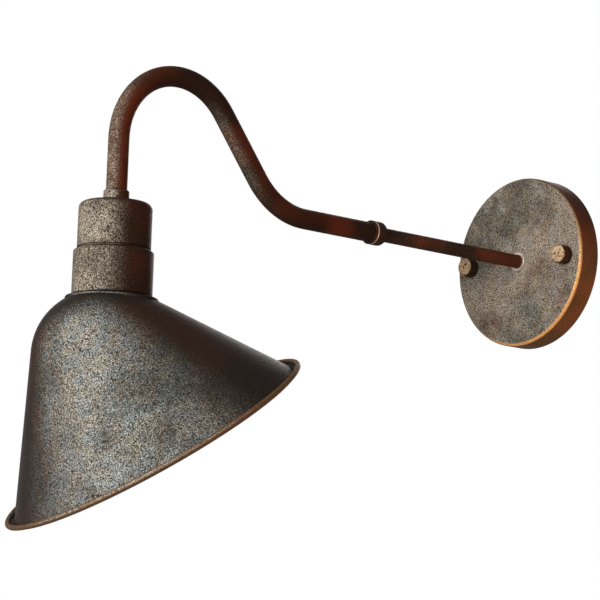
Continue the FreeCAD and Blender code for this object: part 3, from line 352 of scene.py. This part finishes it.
def plain_finish(name, colour, roughness, metallic=0.0):
    """Small parts: a main colour with a little mottling, and a fine bump."""
    nodes = Nodes(name)
    mottle = nodes.noise(PLAIN_MOTTLE, detail=4.0, roughness=0.6)
    fine = nodes.noise(PLAIN_GRAIN, detail=3.0, roughness=0.6)
    darker = tuple(channel * PLAIN_SHADE for channel in colour)
    return nodes.finish(Base_Color=nodes.mix(nodes.step(mottle, 0.35, 0.65), darker, colour),
                        Metallic=metallic,
                        Roughness=nodes.range(fine, *MIDDLE_OF_NOISE, roughness - 0.06, roughness + 0.08),
                        Normal=nodes.bump(fine, PLAIN_DEPTH, 0.5))


# ---------------------------------------------------------------- where the bronze takes painted light and shade, and where it is worn
FULLY_LIT = 0.99            # cosine from which the painted light is whole
FACE_CORNER = (0.0602, 0.0610)      # distance from the canopy's axis where the face turns to the side
FACE_LEVEL = (0.0155, 0.0170)       # distance from the wall there
SIDE_START = (0.0610, 0.0618)
# Painted warm glow: the canopy's copper edge and side are made strongest towards the lower right, where warm
# light falls.
LOW_RIGHT_GLOW = Vector((0.6, 0.0, -0.8))
LOW_RIGHT_GLOW_REACH = (0.005, 0.055)
SIDE_WEAR = 0.12
REST_WEAR = 0.12            # worn copper of the edge away from the painted glow at the lower right
RIM_START = (0.1052, 0.1062)        # distance from the shade's axis
RIM_WEAR = 0.13


def lit_side(azimuth, elevation, start):
    """Painted light: mask that is 1 where the surface faces a direction, and 0 from where their cosine is
    start.
    """
    towards = tuple(direction(azimuth, elevation))

    def mask(nodes):
        return nodes.step(nodes.vector("DOT_PRODUCT", nodes.normal(), towards), start, FULLY_LIT)
    return mask


def canopy_wear_and_glow(nodes):
    """Corner between the canopy's face and side, and the side itself: worn copper along the corner, with a
    painted warm glow that makes it strongest at the lower right.
    """
    out = nodes.beside(OUT, ORIGIN)
    corner = nodes.math("MULTIPLY", nodes.step(out, *FACE_CORNER),
                        nodes.step(nodes.along(OUT, ORIGIN), *FACE_LEVEL))
    side = nodes.math("MULTIPLY", nodes.step(out, *SIDE_START), SIDE_WEAR)
    glow_low_right = nodes.step(nodes.along(LOW_RIGHT_GLOW, ORIGIN), *LOW_RIGHT_GLOW_REACH)
    return nodes.math("MULTIPLY", nodes.math("MAXIMUM", corner, side),
                      nodes.range(glow_low_right, 0.0, 1.0, REST_WEAR, 1.0))


def rim_edge(nodes):
    """The shade's rolled edge, from its gutter outwards."""
    crown, axis, _ = shade_axes()
    return nodes.math("MULTIPLY", nodes.step(nodes.beside(axis, crown), *RIM_START), RIM_WEAR)


# ---------------------------------------------------------------- which piece has which material
# Painted light and shade: bronze that faces these directions, towards the key lamp, takes the pale flecks
# and the lighter ground, and bronze that faces away stays dark.
PAINTED_LIGHT_FRONT = lit_side(10.0, 0.0, 0.35)
PAINTED_LIGHT_ON_SHADE = lit_side(33.0, 0.0, 0.56)
BRONZES = {
    "shade_bronze": (dict(cover=0.38, cool=1.0, rust=0.1, pale=linear(196, 192, 180),
                          deep=linear(36, 29, 24), painted_light=PAINTED_LIGHT_ON_SHADE, edge=rim_edge), ["shade"]),
    "canopy_bronze": (dict(cover=0.55, cool=0.4, rust=0.7, rub_and_light=0.95, painted_light=PAINTED_LIGHT_FRONT, fleck=0.0010,
                           cloudy=0.5, edge=canopy_wear_and_glow), ["canopy"]),
    "housing_bronze": (dict(cover=0.48, cool=0.2, painted_light=PAINTED_LIGHT_FRONT),
                       ["socket_cup", "shade_fitter", "neck_collar"]),
    "tube_bronze": (dict(cover=0.28, cool=0.2, rub_and_light=0.8, rust=0.6, painted_light=PAINTED_LIGHT_FRONT), ["gooseneck_tube"]),
    "rod_bronze": (dict(cover=0.1, cool=0.0, rub_and_light=0.25, rust=0.9),
                   ["wall_rod", "coupler_nut", "coupler_collar"]),
    "nut_bronze": (dict(cover=0.9, cool=0.0, pale=linear(220, 186, 144), painted_light=PAINTED_LIGHT_FRONT), ["cap_nuts"]),
}
PLAIN_FINISHES = {              # colour, roughness, metallic and pieces
    "bare_ring": (linear(206, 190, 176), 0.32, 0.6, ["rod_ferrule", "clamp_ring"]),
    "worn_ring": (linear(190, 150, 128), 0.4, 0.5, ["coupler_ring"]),
    "zinc_steel": (linear(176, 176, 170), 0.38, 0.9, [
        "wall_bracket", "bracket_studs", "stud_nuts", "canopy_washer", "canopy_nut", "head_nipple",
        "head_washer", "head_nuts", "holder_strap", "holder_screws", "block_screw"]),
    "contact_brass": (linear(205, 170, 96), 0.32, 0.95, [
        "earth_screw", "terminal_inserts", "terminal_screws", "holder_terminals",
        "holder_terminal_screws", "screw_shell", "centre_contact", "lamp_contact"]),
    "nylon": (linear(226, 222, 208), 0.5, 0.0, ["terminal_block", "cable_bushes"]),
    "gasket_rubber": (linear(26, 25, 24), 0.7, 0.0, ["shade_gasket"]),
    "porcelain": (linear(236, 232, 222), 0.18, 0.0, ["lampholder_body"]),
    "black_glass": (linear(18, 18, 20), 0.2, 0.0, ["lamp_insulator"]),
    "lamp_cap_metal": (linear(190, 190, 186), 0.34, 0.9, ["lamp_cap"]),
    "opal_glass": (linear(238, 236, 228), 0.16, 0.0, ["lamp_globe"]),
    "flex_sheath": (linear(34, 33, 32), 0.6, 0.0, ["lamp_flex"]),
    "brown_core_cover": (linear(96, 58, 36), 0.45, 0.0, ["live_core"]),
    "blue_core_cover": (linear(52, 96, 170), 0.45, 0.0, ["neutral_core"]),
    "earth_core_cover": (linear(96, 150, 54), 0.45, 0.0, ["earth_core"]),
}


def dress(material, names):
    """Gives CAD nodes, or the scene pieces that stand for them, their material."""
    for name in names:
        node = STAND_INS.get(name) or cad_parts[name]
        node.data.materials.clear()
        node.data.materials.append(material)


def dress_all():
    for name, (settings, pieces) in BRONZES.items():
        dress(antique_bronze(name, **settings), pieces)
    for name, (colour, roughness, metallic, pieces) in PLAIN_FINISHES.items():
        dress(plain_finish(name, colour, roughness, metallic), pieces)


# ---------------------------------------------------------------- turned pieces of the scene
# They stand for CAD nodes whose outline the photo shows a little differently.
SEGMENTS = 256              # round the shade
HOUSING_SEGMENTS = 192
SMALL_SEGMENTS = 128
ROUGH_SEGMENTS = 64
SHARP_ANGLE = 32.0          # from which an edge is drawn sharp
STAND_INS = {}


def arc(centre, radius, start, end, count):
    """Points of a circle in a section, angles in degrees, as (radius, height)."""
    points = []
    for index in range(count + 1):
        angle = math.radians(start + (end - start) * index / count)
        points.append((centre[0] + radius * math.cos(angle), centre[1] + radius * math.sin(angle)))
    return points


def turned(name, section, base, axis, side, segments):
    """Closed turned piece from a closed section of (radius, height) points in millimetres.

    A point with no radius gives one vertex on the axis, which its neighbours' rings fan out from.
    """
    across = axis.cross(side)
    rings = []
    places = []
    for radius, height in section:
        centre = base + axis * (height * MM)
        start = len(places)
        if radius == 0:
            places.append(centre)
        else:
            for step in range(segments):
                angle = 2 * math.pi * step / segments
                out = side * math.cos(angle) + across * math.sin(angle)
                places.append(centre + out * (radius * MM))
        rings.append(range(start, len(places)))
    faces = []
    for one, two in zip(rings, rings[1:] + rings[:1]):
        if len(one) == 1 and len(two) == 1:
            continue
        for step in range(segments):
            after = (step + 1) % segments
            if len(one) == 1:
                faces.append((one[0], two[after], two[step]))
            elif len(two) == 1:
                faces.append((one[step], one[after], two[0]))
            else:
                faces.append((one[step], one[after], two[after], two[step]))
    mesh = bpy.data.meshes.new(name)
    mesh.from_pydata(places, [], faces)
    mesh.validate()
    work = bmesh.new()
    work.from_mesh(mesh)
    bmesh.ops.recalc_face_normals(work, faces=work.faces)
    work.to_mesh(mesh)
    work.free()
    piece = bpy.data.objects.new(name, mesh)
    bpy.context.scene.collection.objects.link(piece)
    return piece


def combined(one, other, operation):
    """one after a boolean with other, which goes away."""
    change = one.modifiers.new("change", "BOOLEAN")
    change.operation = operation
    change.solver = "EXACT"
    change.object = other
    bpy.context.view_layer.update()
    mesh = bpy.data.meshes.new_from_object(one.evaluated_get(bpy.context.evaluated_depsgraph_get()))
    one.modifiers.clear()
    one.data = mesh
    bpy.data.objects.remove(other)
    return one


def smooth(piece):
    """Smooth shading, but for the sharp edges."""
    work = bmesh.new()
    work.from_mesh(piece.data)
    limit = math.radians(SHARP_ANGLE)
    for face in work.faces:
        face.smooth = True
    for edge in work.edges:
        edge.smooth = len(edge.link_faces) == 2 and edge.calc_face_angle(0.0) < limit
    work.to_mesh(piece.data)
    work.free()


def stand_in(piece, node, body):
    """Puts the piece in its CAD node's place."""
    smooth(piece)
    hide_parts(node)
    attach(piece, body)
    STAND_INS[node] = piece


# Coupler between rod and gooseneck: distances from the wall and radii
ROD_HOLE = 5.05
TUBE_HOLE = 7.05
NUT_START = 156.8
NUT_FACE = 5.6
NUT_RADIUS = 8.5
NUT_DOME = 3.6
NUT_DOME_LEVEL = 160.4
NUT_RECESS = 160.9          # where the tube's end stands in the nut
NUT_END = 166.0
RING_RADIUS = 8.35
RING_BEVEL = 0.25
RING_END = 167.5
FLANGE_END = 168.8
BEVEL_WIDTH = 0.3           # of the nut and the flange
BEVEL_LENGTH = 0.4


def bevelled_end(end):
    """The nut's and the flange's front corner."""
    return [(NUT_RADIUS, end - BEVEL_LENGTH), (NUT_RADIUS - BEVEL_WIDTH, end), (TUBE_HOLE, end)]


def make_coupler():
    dome = arc((NUT_RADIUS - NUT_DOME, NUT_DOME_LEVEL), NUT_DOME, -75, 0, 10)
    nut = ([(ROD_HOLE, NUT_START), (NUT_FACE, NUT_START)] + dome + bevelled_end(NUT_END)
           + [(TUBE_HOLE, NUT_RECESS), (ROD_HOLE, NUT_RECESS)])
    inner = RING_RADIUS - RING_BEVEL
    ring = [(TUBE_HOLE, NUT_END), (inner, NUT_END), (RING_RADIUS, NUT_END + RING_BEVEL),
            (RING_RADIUS, RING_END - RING_BEVEL), (inner, RING_END), (TUBE_HOLE, RING_END)]
    flange = [(TUBE_HOLE, RING_END), (NUT_RADIUS, RING_END)] + bevelled_end(FLANGE_END)
    for name, section, node, slot in (
            ("lock_nut", nut, "coupler_nut", "antique_bronze"),
            ("bright_ring", ring, "coupler_ring", "bright_bronze"),
            ("tube_flange", flange, "coupler_collar", "antique_bronze")):
        stand_in(turned(name, section, ORIGIN, OUT, RIGHT, SMALL_SEGMENTS), node, "fixture")


# Socket housing: depths below the rod's axis and radii
CUP_TOP = 14.1
CUP_END = 44.5
CUP_RADIUS = 24.2
CUP_CORNER = 4.5
CUP_BEVEL = 0.4
CUP_HOLE = 5.2
HOUSING_SHEET = 1.8
NECK_TOP = 38.5             # of the fitter's neck, inside the cup
NECK_RADIUS = 22.35
SEAM_RADIUS = 23.2
SEAM_END = 45.3
SHOULDER_START = 46.7
SHOULDER_END = 47.2
SHOULDER_BEVEL = 0.3
FITTER_RADIUS = 26.4
FITTER_END = 76.0
FITTER_BEVEL = 0.5
FITTER_HOLE = 20.6
ROOM_TOP = 48.8
ROOM_END = 73.8
SPIGOT_RADIUS = 22.0
SPIGOT_END = 85.3


def make_housing():
    corner = (CUP_RADIUS - CUP_CORNER, CUP_TOP + CUP_CORNER)
    inner = CUP_RADIUS - HOUSING_SHEET
    cup = ([(CUP_HOLE, CUP_TOP)] + arc(corner, CUP_CORNER, -90, 0, 12)
           + [(CUP_RADIUS, CUP_END - CUP_BEVEL), (CUP_RADIUS - CUP_BEVEL, CUP_END), (inner, CUP_END)]
           + arc(corner, CUP_CORNER - HOUSING_SHEET, 0, -90, 8) + [(CUP_HOLE, CUP_TOP + HOUSING_SHEET)])
    room = FITTER_RADIUS - HOUSING_SHEET
    fitter = [(FITTER_HOLE, NECK_TOP), (NECK_RADIUS, NECK_TOP), (NECK_RADIUS, CUP_END),
              (SEAM_RADIUS, CUP_END), (SEAM_RADIUS, SEAM_END), (CUP_RADIUS, SEAM_END),
              (FITTER_RADIUS - SHOULDER_BEVEL, SHOULDER_START), (FITTER_RADIUS, SHOULDER_END),
              (FITTER_RADIUS, FITTER_END - FITTER_BEVEL), (FITTER_RADIUS - FITTER_BEVEL, FITTER_END),
              (SPIGOT_RADIUS, FITTER_END), (SPIGOT_RADIUS, SPIGOT_END), (FITTER_HOLE, SPIGOT_END),
              (FITTER_HOLE, ROOM_END), (room, ROOM_END), (room, ROOM_TOP), (FITTER_HOLE, ROOM_TOP)]
    for name, section, node in (("housing_cup", cup, "socket_cup"),
                                ("housing_fitter", fitter, "shade_fitter")):
        piece = turned(name, section, HEAD_PLACE, DOWN, RIGHT, HOUSING_SEGMENTS)
        stand_in(piece, node, "fixture")


# ---------------------------------------------------------------- shade
SHADE_DIAMETER = 218.0      # over the rolled edge
HALF_ANGLE = 34.9           # of the cone
TILT = 34.6                 # of the crown's axis from upright
TURN = 14.4                 # of the shade round the head
SHEET = 1.0
CROWN_RADIUS = 43.0
CROWN_FLAT = 8.0            # across the crown's flat middle
CROWN_SETBACK = 4.6         # of the crown's centre from the head's axis
SEAT_HEIGHT = 36.7          # of the seat over the crown's centre
SEAT_DEPTH = 77.0           # of the seat below the rod's axis
SEAT_RADIUS = 30.5
SEAT_SKIRT = 7.0
SEAT_EDGE = 0.9             # radius of the seat's corner
HOLE_RADIUS = 22.1
GUTTER = 1.4                # inside radius of the rim's gutter
BEAD = 3.4                  # across the rolled edge
BEAD_LIFT = 0.5
MOUTH_CUT = 5.0             # how far the inside's cut runs past the cone's foot
CROP_HEIGHT = 60.0          # of the block that takes off all above the seat
CROP_RADIUS = 90.0


def shade_axes():
    """Crown centre, axis towards the crown and side, turned round the head as in use."""
    tilt = math.radians(TILT)
    turn = Matrix.Rotation(-math.radians(TURN), 3, "Z")
    axis = turn @ (OUT * math.sin(tilt) + UP * math.cos(tilt))
    side = turn @ (UP * math.sin(tilt) - OUT * math.cos(tilt))
    crown = HEAD_PLACE + turn @ (OUT * (CROWN_SETBACK * MM)) + DOWN * ((SEAT_DEPTH + SEAT_HEIGHT) * MM)
    return crown, axis, side


def cone_section(inset):
    """Half section of the crown and cone, inset from the outside.

    With no inset it ends in the rim and a flat bottom at the cone's foot. With an inset it runs
    on past the foot, so that its cut opens the mouth.
    """
    lean = math.radians(HALF_ANGLE)
    flat = CROWN_FLAT / 2
    roll_radius = SHADE_DIAMETER / 2 - BEAD - GUTTER
    touch_radius = roll_radius - GUTTER * math.cos(lean)
    top = CROWN_RADIUS * math.sin(lean)
    touch = top - (touch_radius - flat - CROWN_RADIUS * math.cos(lean)) / math.tan(lean)
    roll = touch - GUTTER * math.sin(lean)
    reach = GUTTER + inset
    section = [(0.0, CROWN_RADIUS - inset)] + arc((flat, 0.0), CROWN_RADIUS - inset, 90, HALF_ANGLE, 24)
    start = section[-1]
    end = (roll_radius - reach * math.cos(lean), roll - reach * math.sin(lean))
    section += [(start[0] + (end[0] - start[0]) * step / 12, start[1] + (end[1] - start[1]) * step / 12)
                for step in range(1, 13)]
    if inset == 0:
        section += rim_section(roll_radius, roll)
        foot = roll - (GUTTER + SHEET) * math.sin(lean)
    else:
        foot = end[1] - MOUTH_CUT * math.cos(lean)
        section.append((end[0] + MOUTH_CUT * math.sin(lean), foot))
    return section + [(0.0, foot)]


def rim_section(roll_radius, roll):
    """Gutter turned outwards and its edge, rolled round a wire, from the cone's foot and back."""
    outer = GUTTER + SHEET
    bead_out = GUTTER + BEAD / 2
    under = math.degrees(math.atan2(BEAD_LIFT, bead_out)
                         - math.acos((outer - BEAD / 2) / math.hypot(bead_out, BEAD_LIFT)))
    start = 180 + HALF_ANGLE
    return (arc((roll_radius, roll), GUTTER, start, 360, 10)[1:]
            + arc((roll_radius + bead_out, roll + BEAD_LIFT), BEAD / 2, 180, under, 16)
            + arc((roll_radius, roll), outer, 360 + under, start, 8))


def shade_fill(name, inset):
    """Solid form of the shade: the cone cropped at the seat's level, and the raised seat."""
    crown, axis, side = shade_axes()
    level = SEAT_DEPTH + inset
    fill = turned(name, cone_section(inset), crown, axis, side, SEGMENTS)
    over = level - CROP_HEIGHT
    crop = [(0.0, level), (0.0, over), (CROP_RADIUS, over), (CROP_RADIUS, level)]
    above = turned("above", crop, HEAD_PLACE, DOWN, RIGHT, ROUGH_SEGMENTS)
    fill = combined(fill, above, "DIFFERENCE")
    radius = SEAT_RADIUS - inset
    corner = [(radius, level)]
    if inset == 0:
        corner = arc((radius - SEAT_EDGE, level + SEAT_EDGE), SEAT_EDGE, -90, 0, 6)
    seat = [(0.0, level)] + corner + [(radius, level + SEAT_SKIRT), (0.0, level + SEAT_SKIRT)]
    raised = turned("raised", seat, HEAD_PLACE, DOWN, RIGHT, SEGMENTS)
    return combined(fill, raised, "UNION")


def make_shade():
    shade = combined(shade_fill("cone_shade", 0.0), shade_fill("inside", SHEET), "DIFFERENCE")
    start = SEAT_DEPTH - SHEET
    end = SEAT_DEPTH + 2 * SHEET
    hole = turned("hole", [(0.0, start), (HOLE_RADIUS, start), (HOLE_RADIUS, end), (0.0, end)],
                  HEAD_PLACE, DOWN, RIGHT, SMALL_SEGMENTS)
    shade = combined(shade, hole, "DIFFERENCE")
    stand_in(shade, "shade", "shade")


# ---------------------------------------------------------------- floor, background and lamps
def make_floor():
    mesh = bpy.data.meshes.new("floor")
    half = FLOOR_SIZE / 2
    corners = [(x, y, FLOOR_HEIGHT) for x, y in ((-half, -half), (half, -half), (half, half), (-half, half))]
    mesh.from_pydata(corners, [], [(0, 1, 2, 3)])
    floor = bpy.data.objects.new("floor", mesh)
    bpy.context.scene.collection.objects.link(floor)
    nodes = Nodes("floor_paint")
    tone = nodes.mix(nodes.noise(0.4, detail=2.0), *FLOOR_TONES)
    floor.data.materials.append(nodes.finish(Base_Color=tone, Roughness=0.9))


def make_world():
    """White wherever the camera, a reflection or glass looks, and softer as a light."""
    world = bpy.data.worlds.new("world")
    world.use_nodes = True
    tree = world.node_tree
    tree.nodes.clear()
    rays = tree.nodes.new("ShaderNodeLightPath")
    seen = rays.outputs["Is Camera Ray"]
    for name in ("Is Glossy Ray", "Is Transmission Ray"):
        either = tree.nodes.new("ShaderNodeMath")
        either.operation = "MAXIMUM"
        tree.links.new(seen, either.inputs[0])
        tree.links.new(rays.outputs[name], either.inputs[1])
        seen = either.outputs[0]
    strength = tree.nodes.new("ShaderNodeMapRange")
    tree.links.new(seen, strength.inputs["Value"])
    strength.inputs["To Min"].default_value = WORLD_LIGHT
    strength.inputs["To Max"].default_value = 1.0
    background = tree.nodes.new("ShaderNodeBackground")
    background.inputs["Color"].default_value = (1.0, 1.0, 1.0, 1.0)
    tree.links.new(strength.outputs["Result"], background.inputs["Strength"])
    output = tree.nodes.new("ShaderNodeOutputWorld")
    tree.links.new(background.outputs["Background"], output.inputs["Surface"])
    bpy.context.scene.world = world


def make_lamps():
    for name, place, size, watts, colour in LAMPS:
        data = bpy.data.lights.new(name, "AREA")
        data.shape = "DISK"
        data.size = size
        data.energy = watts
        data.color = colour
        lamp = bpy.data.objects.new(name, data)
        bpy.context.scene.collection.objects.link(lamp)
        lamp.location = place
        lamp.rotation_mode = "QUATERNION"
        lamp.rotation_quaternion = (Vector(LAMP_AIM) - Vector(place)).to_track_quat("-Z", "Y")
        lamp.visible_camera = False


bpy.context.scene.view_settings.view_transform = "Standard"
make_camera()
make_floor()
make_world()
make_lamps()
make_coupler()
make_housing()
make_shade()
dress_all()
